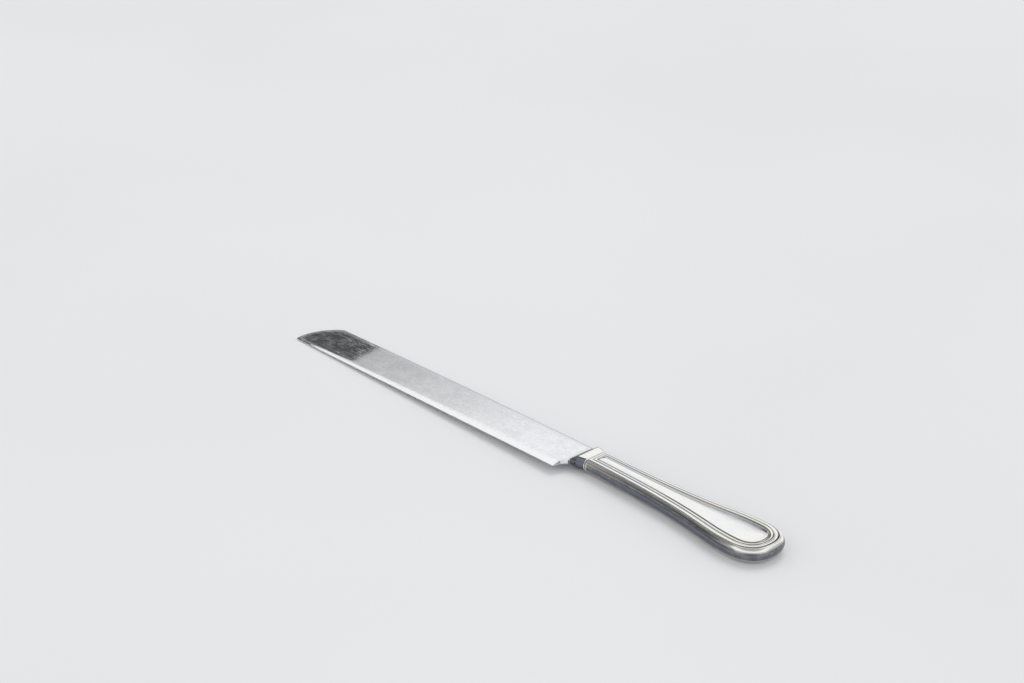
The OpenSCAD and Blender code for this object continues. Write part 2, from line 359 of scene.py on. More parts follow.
def shell_surface():
    """All rows of one shell, from the cavity's ceiling down to the seam and up over the threads.

    Returns the points and the marks of each point: recess says how much dirt lies there, the second mark
    how full the side film is, whose colour is a painted dark reflection, warm how yellow the silver is,
    and hazy how dull its shine is.
    """
    rows = []
    marks = {"recess": [], "dulled": [], "warm": [], "hazy": []}

    def add(points, dirt=0.0, film=0.0, tint=0.0, haze=0.0):
        """Adds a row of points with its marks, and the dirt of the joint with the collar."""
        x = points[:, 0]
        rows.append(points)
        marks["recess"].append(np.maximum(dirt, 0.9 * bump_at(x, 0, joint_dirt)))
        # The painted reflection film stops short of the front corner
        marks["dulled"].append(film * smooth_step(*film_front, x))
        marks["warm"].append(tint * smooth_step(*butt_warmth, x))
        marks["hazy"].append(np.full(len(points), haze))

    # The cavity, from its ceiling under the panel down to the seam
    add(panel_level(land_edge, land_z - wall, wall))
    add(panel_level(panel_edge, panel_z - wall, wall))
    add(level_at(0, 1, groove_z - wall, wall))
    add(level_at(-wall, ceiling_edge, rim_z - wall, wall))
    add(level_at(side_out(cavity_side) - wall, 0, side_up(cavity_side, rim_z - wall), wall))
    add(level_at(side_swell - wall, 0, seam / 2, wall))
    # The side, from the seam up to the rim
    for k in np.arange(side_rows) / side_rows:
        row = level_at(side_out(k), 0, max(side_up(k, rim_z), seam / 2))
        dirt, film, haze = side_finish(k, row[:, 0])
        add(row, dirt, film, haze=haze)
    # The border with its two threads, and the way down into the deep groove
    for u in clustered([0, thread_split, thread_end], [outer_rows, inner_rows]):
        add(level_at(0, u, border_up(u)), border_dirt(u), tint=1.0)
    for k in np.arange(1, groove_rows + 1) / groove_rows:
        z = mix(border_up(thread_end), groove_z, math.sin(math.pi / 2 * k))
        add(level_at(0, mix(thread_end, 1, k), z), 1.0)
    # The panel, from the deep groove over its shoulder and its dome
    shoulder = np.linspace(0, panel_edge, shoulder_rows + 1)[1:]
    crowned = np.linspace(panel_edge, panel_last, dome_rows + 1)[1:]
    for v in np.concatenate([shoulder, crowned]):
        add(panel_level(v, float(panel_up(v))), 0.9 * (1.0 - smooth_step(0.0, 0.45 * panel_edge, v)))
    return np.array(rows), {name: np.concatenate(values) for name, values in marks.items()}


def make_shell(name, node, upward):
    """One stamped shell of the handle; upward is 1 for the upper one and -1 for its mirror image."""
    rows, marks = shell_surface()
    count, n = rows.shape[:2]
    points = rows.reshape(-1, 3) * [1, 1, upward]
    ceiling = strip_cap(0, n, True)
    land = strip_cap((count - 1) * n, n, False)
    quads = np.concatenate([grid_quads(count, n, closed=True), ceiling[0], land[0]])
    triangles = np.concatenate([ceiling[1], land[1]])
    piece = put_piece(name, points, quads, triangles, marks)
    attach(piece, "root")
    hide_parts(node)
    return piece


upper_skin = make_shell("handle_upper_skin", "upper_shell", 1)
lower_skin = make_shell("handle_lower_skin", "lower_shell", -1)


# The collar

collar_top = rim_z - collar_drop
slope_x = slope_len - collar_len
joint_half = neck_w / 2 - collar_step
# Share of the side's arc that the front face keeps, so that it is a lip higher than the blade
front_arc = math.asin((blade_t / 2 + lip) * math.sin(side_angle) / collar_top) / side_angle
# Sections between the collar's stops, and points over half a barrel side and over a flat face
ring_counts, barrel_points, face_points = [44, 54, 8, 8, 8], 26, 36
# Sizes of the rings that close an end, as shares of its section
end_shrink = [0.9, 0.96, 0.985, 0.995]
# Passes that round the edges, around each section and along the collar
around_passes, along_passes = 5, 3
# Bands round the vent's middle over which points stop being drawn into circles, and being sunk
vent_drawn, vent_sunk = (0.7 * vent_d, 1.6 * vent_d), (0.42 * vent_d, 0.56 * vent_d)

# Bands over which the collar's finish changes, each measured from the feature that it is named for

groove_mid, groove_band = -0.1, (0.1, 0.6)
slope_band, bead_band, side_band = (-0.9, -0.3), (0.2, 0.3), (-0.15, 0.25)

# Each stop of the collar: its place, its half width, its height and how much of the side's arc it has

collar_stops = np.array(
    [
        [fit - collar_len, collar_w / 2 + collar_flare, collar_top, front_arc],
        [slope_x, collar_w / 2, collar_top, 1],
        [step_x, joint_half + step_out, collar_top, 1],
        [bead_x, joint_half + bead_out, collar_top, 1],
        [groove_x, joint_half, collar_top - joint_groove, 1],
        [0, joint_half - joint_groove, collar_top - joint_groove, 1],
    ]
)


def softened(points, axis, passes, closed):
    """Rounds edges: each pass moves every point towards the middle of its two neighbours."""
    for _ in range(passes):
        after, before = np.roll(points, -1, axis), np.roll(points, 1, axis)
        soft = 0.5 * points + 0.25 * (after + before)
        if not closed:
            ends = [slice(None)] * points.ndim
            for end in (0, -1):
                ends[axis] = end
                soft[tuple(ends)] = points[tuple(ends)]
        points = soft
    return points


def collar_ring(x, half, height, arc, flat, side):
    """One section of the collar: a barrel side on each hand and flat faces above and below."""
    k = arc * side
    out, up = half + side_out(np.abs(k)), side_up(k, height)
    far = np.column_stack([np.full(len(k), x), out[::-1], up[::-1]])
    near = np.column_stack([np.full(len(k), x), -out, up])
    edge = half + side_out(arc)
    over = np.column_stack([np.full(len(flat), x), edge * flat, np.full(len(flat), up[-1])])
    under = np.column_stack([np.full(len(flat), x), -edge * flat, np.full(len(flat), up[0])])
    return np.concatenate([near[:-1], over[:-1], far[:-1], under[:-1]])


def collar_rings():
    """Sections of the collar from its front face over the slope and the top face to the joint groove.

    A few shrinking rings close each end, and then all edges are rounded.
    """
    x = clustered(collar_stops[:, 0], ring_counts)
    half, height, arc = (np.interp(x, collar_stops[:, 0], column) for column in collar_stops.T[1:])
    side = clustered([-1, 0, 1], [barrel_points, barrel_points])
    flat = clustered([-1, 1], [face_points])
    rings = np.array([collar_ring(*values, flat, side) for values in zip(x, half, height, arc)])
    front = [rings[0] * [1, k, k] for k in end_shrink]
    back = [rings[-1] * [1, k, k] for k in end_shrink[::-1]]
    rings = np.concatenate([front, rings, back])
    rings = softened(rings, axis=1, passes=around_passes, closed=True)
    return softened(rings, axis=0, passes=along_passes, closed=False)


def with_vent(points):
    """Draws the points round the vent hole into circles and pushes those inside it inward.

    Returns the points, and for each how far it lies inside the hole.
    """
    hole = np.array([slope_x - vent_ahead, 0.0])
    near_side = points[:, 1] < 0
    gap = points[:, [0, 2]] - hole
    square = np.abs(gap).max(1)
    circle = np.linalg.norm(gap, axis=1) + 1e-9
    drawn = near_side * (1 - smooth_step(*vent_drawn, square))
    inside = near_side * (1 - smooth_step(*vent_sunk, square))
    points[:, [0, 2]] = hole + gap * (1 + drawn * (square / circle - 1))[:, None]
    points[:, 1] += vent_dimple * inside
    return points, inside


def collar_marks(points, vent):
    """Dirt in the vent and in the joint groove, and on sides and slope a film whose colour is a painted
    dark reflection, but not on the bead.
    """
    x = points[:, 0]
    in_groove = 1 - smooth_step(*groove_band, np.abs(x - groove_mid))
    sideways = np.abs(points[:, 1]) - np.interp(x, collar_stops[:, 0], collar_stops[:, 1])
    on_slope = 1 - smooth_step(*slope_band, x - slope_x)
    on_bead = 1 - smooth_step(*bead_band, np.abs(x - bead_x))
    # Painted dark reflection on the sides and the front slope, left off the bead
    film = np.maximum(smooth_step(*side_band, sideways), on_slope) * (1 - on_bead)
    return {"recess": np.clip(vent + in_groove, 0, 1), "dulled": film}


def make_collar():
    """The collar with its vent, closed by a fan of triangles at each end, and the box of its spigot."""
    rings = collar_rings()
    count, n = rings.shape[:2]
    points, vent = with_vent(rings.reshape(-1, 3))
    marks = collar_marks(points, vent)
    body = grid_quads(count, n, closed=True)
    ends = [np.arange(n)[::-1], (count - 1) * n + np.arange(n)]
    fans = []
    for loop, middle in zip(ends, (len(points), len(points) + 1)):
        fans.append(np.column_stack([loop, np.roll(loop, -1), np.full(n, middle)]))
    middles = np.array([rings[0].mean(0), rings[-1].mean(0)])

    slot_half = blade_t / 2 + fit + (collar_len + spigot_len) * math.sin(drop_angle)
    half_size = [tang_w / 2 + fit + spigot_wall, slot_half + spigot_wall]
    corners = np.array([[-1, -1], [1, -1], [1, 1], [-1, 1]]) * half_size
    spigot = [np.column_stack([np.full(4, x), corners]) for x in (-joint_groove, spigot_len)]
    box = np.array([[0, 1, 2, 3], [7, 6, 5, 4], [0, 4, 5, 1], [1, 5, 6, 2], [2, 6, 7, 3], [3, 7, 4, 0]])
    box = box + len(points) + len(middles)

    plain = np.zeros(len(middles) + 8)
    marks = {name: np.concatenate([values, plain]) for name, values in marks.items()}
    points = np.concatenate([points, middles, *spigot])
    piece = put_piece("collar_skin", points, np.concatenate([body, box]), np.concatenate(fans), marks)
    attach(piece, "root")
    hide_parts("collar")
    return piece


collar_skin = make_collar()


# The blade

edge_y = back_off - blade_w
collar_side = collar_w / 2 + collar_flare + side_swell
root_y = -collar_side - root_out
end_curve = np.array(
    [
        [0, 0],
        [-end_swell, end_low * blade_w],
        [end_top * end_run, blade_w],
        [end_run, blade_w],
    ]
)
heel_curve = np.array(
    [
        [-heel_run, edge_y + heel_side],
        [-heel_run, root_y - heel_bend],
        [-heel_flat * heel_run, root_y],
        [0, root_y],
    ]
)
# Points of the two curves, and the place of the end's curve, whose foremost point is the tip
tip_steps, end_steps, heel_steps = 400, 600, 60
tip_x = -blade_len - cubic(end_curve, np.linspace(0, 1, tip_steps))[:, 0].min()

# The blade's grid

# Distances of its outer rows and columns from the outline
rim_steps = np.array([0, 0.03, 0.08, 0.14, 0.21, 0.3, 0.45, 0.7, 1.1, 1.6])
# Distances of its finer rows from the root
root_steps = np.array([-1.6, -1.1, -0.7, -0.4, -0.2, -0.1, -0.04, 0, 0.1, 0.4, 1])
# Distances of its rows on the flat from the cutting edge
flat_rows = [9.8, 11, 12.5, 14, 15.5, 17, 18.5, 20, 21.3, 22.3]
# Its rows over the bevel: where they start, how far they go past it, and how many there are
bevel_from, bevel_past, bevel_rows = 1.9, 1.2, 26
# Its columns between the ends: how far from them the first and the last lie, and how many there are
columns_from, blade_columns = 2.2, 180

# Bands over which the blade's finish changes, each measured from the feature that it is named for

rim_band, worn_rim_band, ridge_band = (0.1, 0.5), (0.8, 3.4), (-1.3, 0.5)
heel_band, heel_height = (-1.5, -0.5), 1
face_band, flank_band, back_band = (0.45, 1.0), (-0.2, 0.3), (0.3, 0.85)
# Strength of the painted dark reflection along the back
spine_dirt = 0.55


def back_y(x):
    """The back of the blade: a very shallow bow."""
    k = np.clip((x - tip_x - end_run) / (-tip_x - end_run), 0, 1)
    return back_off + back_bow * 4 * k * (1 - k)


def taper_half(x):
    """Half the thickness of the blade's flat: a long straight taper to the tip."""
    return np.interp(x, [-blade_len, 0], [tip_t / 2, blade_t / 2])


def blade_half(x, y):
    """Half the blade's thickness: the taper, and a bevel that runs softly into the flat."""
    taper = taper_half(x)
    bevel = edge_t / 2 + (blade_t - edge_t) / 2 * (y - edge_y) / bevel_w
    return np.minimum(taper, bevel) - bevel_blend * np.log1p(np.exp(-np.abs(taper - bevel) / bevel_blend))


def blade_plan(columns, rows):
    """A grid over the blade seen from above, from shares of its length and of its width.

    Rows run along the blade, closest together over the bevel and at the back. The first column is the
    rounded end, the last one the heel with its straight step and its curve to the collar.
    """
    end = cubic(end_curve, np.linspace(0, 1, end_steps))
    heel = cubic(heel_curve, np.linspace(0, 1, heel_steps))
    y_heel = np.concatenate([[edge_y], heel[:, 1], [back_off]])
    x_heel = np.concatenate([[-heel_run], heel[:, 0], [0]])
    span = rows * blade_w
    x_first = tip_x + np.interp(span, end[:, 1], end[:, 0])
    x_last = np.interp(edge_y + span, y_heel, x_heel)
    x = mix(x_first[None, :], x_last[None, :], columns[:, None])
    y = (edge_y + span)[None, :] + (back_y(x) - back_off) * rows[None, :]
    return x, y


def outline_gap(x, y, block=12):
    """Distance of each grid point from the grid's outline, a block of columns at a time."""
    grid = np.stack([x, y], -1)
    rim = np.concatenate([grid[0], grid[:, -1], grid[-1, ::-1], grid[::-1, 0]])
    way = np.roll(rim, -1, 0) - rim
    near = np.empty(x.shape)
    for first in range(0, len(x), block):
        p = grid[first : first + block, :, None]
        k = np.clip(((p - rim) * way).sum(-1) / np.maximum((way**2).sum(-1), 1e-12), 0, 1)
        near[first : first + block] = np.linalg.norm(p - (rim + way * k[..., None]), axis=-1).min(-1)
    return near


def blade_marks(x, y, gap):
    """Where the steel is ground bright, worn pale and painted dark, from each point's distance to the
    outline.

    It is ground on the bevel, and the heel's step gets the same bright colour as a painted highlight.
    It is worn along the rim, with a lavender tint that is a painted reflection. Painted shade darkens
    the corner at the collar, and a thin painted dark reflection runs along the back.
    """
    ridge = edge_y + bevel_w * (taper_half(x) - edge_t / 2) / ((blade_t - edge_t) / 2)
    at_heel = smooth_step(*heel_band, x + heel_run) * (y < root_y + heel_height)
    # The heel's step is brightened as a painted highlight
    heel_step = (1 - smooth_step(*rim_band, gap)) * at_heel
    ground = np.maximum(1 - smooth_step(*ridge_band, y - ridge), heel_step)
    # Worn paler along the rim, with a lavender painted reflection
    worn = (1 - smooth_step(*worn_rim_band, gap)) * (1 - ground)
    # Painted shade in the corner at the collar, and a painted dark reflection along the back
    corner = (1 - smooth_step(*face_band, -x)) * smooth_step(*flank_band, y + collar_side)
    spine = 1 - smooth_step(*back_band, back_y(x) - y)
    return {"ground": ground, "worn": worn, "soiled": np.maximum(corner, spine_dirt * spine)}


def tang_bar(first):
    """Points and faces of the tang, whose points are numbered from first: a flat bar that narrows."""
    plan = [[0, tang_w / 2], [collar_len, tang_w / 2], [collar_len + tang_len, tang_end_w / 2]]
    plan = np.array(plan + [[x, -y] for x, y in plan[::-1]])
    n = len(plan)
    points = [np.column_stack([plan, np.full(n, side * blade_t / 2)]) for side in (1, -1)]
    ring = np.arange(n)
    after = np.roll(ring, -1)
    walls = np.column_stack([ring, after, after + n, ring + n])
    caps = np.array([[0, 5, 4, 1], [1, 4, 3, 2]])
    return np.concatenate(points), np.concatenate([walls, caps, caps[:, ::-1] + n]) + first


def make_blade():
    """The blade: upper and lower faces on one grid, rounded at the rim, a wall between, and the tang."""
    bevel = np.linspace(bevel_from, bevel_w + bevel_past, bevel_rows)
    root = root_y - edge_y + root_steps
    rows = np.concatenate([rim_steps, bevel, root, flat_rows, (blade_w - rim_steps)[::-1]])
    rows = np.unique(np.round(rows, 4)) / blade_w
    ends = rim_steps / blade_len
    middle = np.linspace(columns_from, blade_len - columns_from, blade_columns) / blade_len
    x, y = blade_plan(np.concatenate([ends, middle, 1 - ends[::-1]]), rows)
    half = blade_half(x, y)
    gap = outline_gap(x, y)
    bend = np.minimum(edge_round, round_share * half)
    inside = np.clip(gap / bend, 0, 1)
    half = half - bend * (1 - np.sqrt(np.clip(1 - (1 - inside) ** 2, 0, 1)))

    n_x, n_y = x.shape
    total = n_x * n_y
    above = np.stack([x, y, half], -1).reshape(-1, 3)
    below = np.stack([x, y, -half], -1).reshape(-1, 3)
    index = np.arange(total).reshape(n_x, n_y)
    rim = np.concatenate([index[0, :-1], index[:-1, -1], index[-1, :0:-1], index[:0:-1, 0]])
    after = np.roll(rim, -1)
    faces = grid_quads(n_x, n_y)
    walls = np.column_stack([rim, after, after + total, rim + total])
    tang, tang_faces = tang_bar(2 * total)
    quads = np.concatenate([faces[:, ::-1], faces + total, walls[:, ::-1], tang_faces])
    points = slanted(np.concatenate([above, below, tang]))
    marks = {}
    for name, values in blade_marks(x, y, gap).items():
        marks[name] = np.concatenate([values.ravel(), values.ravel(), np.zeros(len(tang))])
    piece = put_piece("blade_steel_skin", points, quads, (), marks, crease=30)
    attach(piece, "root")
    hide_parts("blade")
    return piece


blade_skin = make_blade()


# Finishes

silver_bright = (0.93, 0.925, 0.9, 1)
silver_cool = (0.895, 0.903, 0.92, 1)
silver_yellowed = (0.915, 0.9, 0.855, 1)
groove_brown = (0.17, 0.16, 0.125, 1)
# Painted dark reflection on the sides of handle and collar: olive where the film begins, blue grey where it
# is full
film_thin = (0.55, 0.545, 0.48, 1)
film_full = (0.17, 0.18, 0.22, 1)
steel_mottle = (0.77, 0.79, 0.795, 1)
steel_clear = (0.895, 0.912, 0.94, 1)
# Worn rim, tinted lavender as a painted reflection
steel_worn = (0.74, 0.735, 0.8, 1)
# Bright ground bevel, and the painted highlight on the heel's step
steel_ground = (0.93, 0.935, 0.94, 1)
# Painted shade and dark reflection on the blade
steel_dirt = (0.13, 0.12, 0.1, 1)
cement_dark = (0.42, 0.37, 0.31, 1)
cement_light = (0.6, 0.55, 0.48, 1)
paper_shade = (0.815, 0.82, 0.835, 1)
paper_light = (0.835, 0.84, 0.852, 1)

# Depths of the finishes' reliefs: the silver's dents, the steel's grinding and the cement's grains

dent_depth, grinding_depth, grain_depth = 0.03, 0.004, 0.1

# Sets of scratches: their turn in radians, and the cells of their noise in a metre along and across

scratch_sets = ((0.15, 90, 2600), (1.1, 120, 3000), (2.2, 160, 3400), (-0.55, 110, 2800))

# The same in depth, and for the patches in which they show

depth_cells, patch_cells = 400, 60


def new_group(name, inputs, outputs):
    """A shader node group with named inputs and outputs; each input is (name, kind, value)."""
    group = bpy.data.node_groups.new(name, "ShaderNodeTree")
    for label, kind, value in inputs:
        socket = group.interface.new_socket(name=label, in_out="INPUT", socket_type=kind)
        socket.default_value = value
    for label, kind in outputs:
        group.interface.new_socket(name=label, in_out="OUTPUT", socket_type=kind)
    entry = group.nodes.new("NodeGroupInput")
    leave = group.nodes.new("NodeGroupOutput")
    return group, entry, leave


def set_socket(tree, socket, value):
    """Links a socket to another one, or gives it a constant."""
    if isinstance(value, bpy.types.NodeSocket):
        tree.links.new(value, socket)
    else:
        socket.default_value = value


def maths(tree, operation, *values, clamp=False):
    """One step of arithmetic on numbers or sockets."""
    node = tree.nodes.new("ShaderNodeMath")
    node.operation, node.use_clamp = operation, clamp
    for socket, value in zip(node.inputs, values):
        set_socket(tree, socket, value)
    return node.outputs[0]


def vector_maths(tree, operation, first, second):
    """One step of arithmetic on a vector socket and a constant vector."""
    node = tree.nodes.new("ShaderNodeVectorMath")
    node.operation = operation
    tree.links.new(first, node.inputs[0])
    node.inputs[1].default_value = second
    return node.outputs["Value" if operation == "DOT_PRODUCT" else "Vector"]


def spread(tree, value, low, high, to_low=0.0, to_high=1.0):
    """Maps a value from low to high onto another span, smoothly and clamped."""
    node = tree.nodes.new("ShaderNodeMapRange")
    node.interpolation_type = "SMOOTHSTEP"
    tree.links.new(value, node.inputs["Value"])
    for key, number in (("From Min", low), ("From Max", high), ("To Min", to_low), ("To Max", to_high)):
        node.inputs[key].default_value = number
    return node.outputs["Result"]


def blended(tree, factor, first, second):
    """The first colour where the factor is 0 and the second where it is 1."""
    node = tree.nodes.new("ShaderNodeMix")
    node.data_type = "RGBA"
    for key, value in (("Factor", factor), ("A", first), ("B", second)):
        sockets = [s for s in node.inputs if s.name == key and s.enabled]
        set_socket(tree, sockets[0], value)
    return [s for s in node.outputs if s.enabled][0]


def turned_coords(tree, vector, turn, scale):
    """Coordinates turned about the three axes and stretched along them."""
    node = tree.nodes.new("ShaderNodeMapping")
    tree.links.new(vector, node.inputs["Vector"])
    node.inputs["Rotation"].default_value = turn
    node.inputs["Scale"].default_value = scale
    return node.outputs["Vector"]


def noise(tree, vector, scale, detail=2.0, rough=0.5):
    """Soft noise from 0 to 1; a higher scale is finer, more detail and rough are more broken."""
    node = tree.nodes.new("ShaderNodeTexNoise")
    tree.links.new(vector, node.inputs["Vector"])
    node.inputs["Scale"].default_value = scale
    node.inputs["Detail"].default_value = detail
    node.inputs["Roughness"].default_value = rough
    return node.outputs["Fac"]


def build_scratches():
    """Fine scratches: thin ridges of stretched noise in several directions, as a mask and a height."""
    group, entry, leave = new_group(
        "fine_scratches",
        [("Vector", "NodeSocketVector", (0, 0, 0)), ("Spread", "NodeSocketFloat", 0.5)],
        [("Scratch", "NodeSocketFloat"), ("Height", "NodeSocketFloat")],
    )
    coords = entry.outputs["Vector"]
    total = None
    for turn, along, across in scratch_sets:
        stretched = turned_coords(group, coords, (0, 0, turn), (along, across, depth_cells))
        line = spread(group, noise(group, stretched, 1.0, detail=1.0), 0.61, 0.7)
        turned = turned_coords(group, coords, (0, 0, turn), (patch_cells, patch_cells, patch_cells))
        patch = spread(group, noise(group, turned, 1.0), 0.45, 0.65)
        line = maths(group, "MULTIPLY", line, patch)
        total = line if total is None else maths(group, "MAXIMUM", total, line)
    scaled = maths(group, "MULTIPLY", total, entry.outputs["Spread"], clamp=True)
    group.links.new(scaled, leave.inputs["Scratch"])
    group.links.new(maths(group, "SUBTRACT", 1.0, scaled), leave.inputs["Height"])
    return group


def build_tarnish():
    """Tarnish that stays where polishing doesn't reach: brown in the grooves, and on the sides a film whose
    colour is a painted dark reflection.

    The painted reflection is olive where the film begins, and blue grey where it is full.
    """
    group, entry, leave = new_group(
        "tarnish_in_grooves",
        [
            ("Vector", "NodeSocketVector", (0, 0, 0)),
            ("Metal", "NodeSocketColor", silver_bright),
            ("Tarnish", "NodeSocketColor", groove_brown),
            ("Thin", "NodeSocketColor", film_thin),
            ("Film", "NodeSocketColor", film_full),
            ("Recess", "NodeSocketFloat", 0.0),
            ("Dulled", "NodeSocketFloat", 0.0),
        ],
        [("Color", "NodeSocketColor"), ("Mask", "NodeSocketFloat")],
    )
    recess, dulled = entry.outputs["Recess"], entry.outputs["Dulled"]
    cloud = noise(group, entry.outputs["Vector"], 260, detail=4.0, rough=0.6)
    broken = maths(group, "ADD", recess, maths(group, "MULTIPLY_ADD", cloud, 0.7, -0.35))
    held = maths(group, "MULTIPLY", spread(group, broken, 0.25, 0.95), recess, clamp=True)
    patchy = maths(group, "MULTIPLY", dulled, spread(group, cloud, 0.3, 0.7, 0.75, 1.0), clamp=True)
    # Shares of the painted dark reflection: thin olive first, then full blue grey
    thin_share, full_share = spread(group, patchy, 0.0, 0.3), spread(group, patchy, 0.25, 0.85)
    thin = blended(group, thin_share, entry.outputs["Metal"], entry.outputs["Thin"])
    film = blended(group, full_share, thin, entry.outputs["Film"])
    mask = maths(group, "MAXIMUM", held, maths(group, "MULTIPLY", patchy, 0.5))
    group.links.new(blended(group, held, film, entry.outputs["Tarnish"]), leave.inputs["Color"])
    group.links.new(mask, leave.inputs["Mask"])
    return group


scratches = build_scratches()
tarnish = build_tarnish()


def new_finish(name):
    """A new material, its node tree, its shader and its Object coordinates."""
    material = bpy.data.materials.new(name)
    material.use_nodes = True
    tree = material.node_tree
    shader = tree.nodes["Principled BSDF"]
    coords = tree.nodes.new("ShaderNodeTexCoord").outputs["Object"]
    return material, tree, shader, coords


def marked(tree, name):
    """The value of one of the piece's marks."""
    node = tree.nodes.new("ShaderNodeAttribute")
    node.attribute_name = name
    return node.outputs["Fac"]


def placed_group(tree, group, **values):
    """Places a node group with its own values."""
    node = tree.nodes.new("ShaderNodeGroup")
    node.node_tree = group
    for key, value in values.items():
        set_socket(tree, node.inputs[key], value)
    return node


def bumped(tree, height, distance):
    """A normal that follows a height between 0 and 1, which stands for the distance in metres."""
    node = tree.nodes.new("ShaderNodeBump")
    node.inputs["Distance"].default_value = distance
    node.inputs["Strength"].default_value = 1.0
    tree.links.new(height, node.inputs["Height"])
    return node.outputs["Normal"]


def silver_finish():
    """Polished silver: bright and nearly neutral with faint cool clouds, and brown in the grooves.

    It has fine scratches and shallow dents, and on its sides a grey film whose colour is a painted dark
    reflection.
    """
    material, tree, shader, coords = new_finish("polished_silver")
    clouds = spread(tree, noise(tree, coords, 85, detail=3.0, rough=0.55), 0.4, 0.64)
    metal = blended(tree, clouds, silver_bright, silver_cool)
    film = placed_group(
        tree,
        tarnish,
        Vector=coords,
        Metal=blended(tree, marked(tree, "warm"), metal, silver_yellowed),
        Tarnish=groove_brown,
        Thin=film_thin,
        Film=film_full,
        Recess=marked(tree, "recess"),
        Dulled=marked(tree, "dulled"),
    )
    fine = placed_group(tree, scratches, Vector=coords, Spread=0.8)
    # Base colour: silver, brown tarnish in the grooves, and the painted dark reflection on the sides
    tree.links.new(film.outputs["Color"], shader.inputs["Base Color"])
    metallic = maths(tree, "MULTIPLY_ADD", marked(tree, "hazy"), -0.3, 1.0)
    tree.links.new(metallic, shader.inputs["Metallic"])
    smears = spread(tree, noise(tree, coords, 120, detail=4.0, rough=0.6), 0.35, 0.7, 0.09, 0.16)
    rough = maths(tree, "MULTIPLY_ADD", film.outputs["Mask"], 0.3, smears)
    rough = maths(tree, "MULTIPLY_ADD", fine.outputs["Scratch"], 0.12, rough)
    tree.links.new(rough, shader.inputs["Roughness"])
    dents = spread(tree, noise(tree, coords, 95, detail=1.0), 0.3, 0.75)
    height = maths(tree, "MULTIPLY_ADD", fine.outputs["Height"], 0.12, dents)
    tree.links.new(bumped(tree, height, dent_depth * MM), shader.inputs["Normal"])
    return material


def steel_finish():
    """Blade steel: light grey, faintly mottled, with lengthwise grinding, a brighter bevel and a painted
    highlight on the heel's step.

    The rim is worn paler, with a lavender tint that is a painted reflection. Painted shade darkens the
    corner at the collar, and a thin painted dark reflection runs along the back.
    """
    material, tree, shader, coords = new_finish("blade_steel")
    mottle = noise(tree, coords, 520, detail=4.0, rough=0.7)
    clouds = noise(tree, turned_coords(tree, coords, (0, 0, 0), (1, 1.6, 1)), 110, detail=3.0)
    tone = maths(tree, "MULTIPLY_ADD", mottle, 0.65, maths(tree, "MULTIPLY", clouds, 0.35))
    worn = marked(tree, "worn")
    soiled = maths(tree, "MULTIPLY", marked(tree, "soiled"), 0.85)
    colour = blended(tree, spread(tree, tone, 0.35, 0.65), steel_mottle, steel_clear)
    # Worn rim, tinted lavender as a painted reflection
    colour = blended(tree, maths(tree, "MULTIPLY", worn, 0.5), colour, steel_worn)
    # Bright ground bevel, and a painted highlight on the heel's step
    colour = blended(tree, marked(tree, "ground"), colour, steel_ground)
    # Painted shade at the collar and a painted dark reflection along the back
    colour = blended(tree, soiled, colour, steel_dirt)
    tree.links.new(colour, shader.inputs["Base Color"])
    fine = placed_group(tree, scratches, Vector=coords, Spread=1.0)
    rough = spread(tree, mottle, 0.3, 0.7, 0.03, 0.05)
    rough = maths(tree, "MULTIPLY_ADD", fine.outputs["Scratch"], 0.15, rough)
    tree.links.new(rough, shader.inputs["Roughness"])
    fine_haze = noise(tree, coords, 950, detail=5.0, rough=0.75)
    wide_haze = noise(tree, coords, 240, detail=3.0, rough=0.6)
    bloom = spread(tree, maths(tree, "ADD", fine_haze, wide_haze), 0.8, 1.3, 0.0, 0.17)
    for mask, share in ((worn, 0.27), (soiled, 0.4), (fine.outputs["Scratch"], 0.35)):
        bloom = maths(tree, "MULTIPLY_ADD", mask, share, bloom)
    tree.links.new(maths(tree, "SUBTRACT", 1.0, bloom), shader.inputs["Metallic"])
    lengthwise = turned_coords(tree, coords, (0, 0, 0), (60, 4200, 60))
    height = maths(tree, "MULTIPLY", fine.outputs["Height"], 0.12)
    for relief, share in ((noise(tree, lengthwise, 1.0, detail=3.0, rough=0.6), 0.1), (mottle, 0.35)):
        height = maths(tree, "MULTIPLY_ADD", relief, share, height)
    tree.links.new(bumped(tree, height, grinding_depth * MM), shader.inputs["Normal"])
    return material


def cement_finish():
    """Cement inside the handle: matte grey-brown with grains."""
    material, tree, shader, coords = new_finish("handle_cement")
    grains = noise(tree, coords, 900, detail=4.0, rough=0.7)
    tree.links.new(blended(tree, grains, cement_dark, cement_light), shader.inputs["Base Color"])
    shader.inputs["Roughness"].default_value = 0.9
    tree.links.new(bumped(tree, grains, grain_depth * MM), shader.inputs["Normal"])
    return material


def paper_finish():
    """The plain pale paper of the floor: matte, with a hardly visible change of tone."""
    material, tree, shader, coords = new_finish("floor_paper")
    tone = spread(tree, noise(tree, coords, 3.0), 0.3, 0.7)
    tree.links.new(blended(tree, tone, paper_shade, paper_light), shader.inputs["Base Color"])
    shader.inputs["Roughness"].default_value = 0.9
    shader.inputs["Specular IOR Level"].default_value = 0.1
    return material


silver = silver_finish()
steel = steel_finish()
cement = cement_finish()
for piece in (upper_skin, lower_skin, collar_skin):
    piece.data.materials.append(silver)
blade_skin.data.materials.append(steel)
for name, material in (
    ("upper_shell", silver),
    ("lower_shell", silver),
    ("collar", silver),
    ("blade", steel),
    ("handle_filler", cement),
):
    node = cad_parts[name]
    if not node.material_slots:
        node.data.materials.append(material)
    for slot in node.material_slots:
        slot.material = material


# The floor, in metres

floor_half, floor_z = 12.0, -0.0001


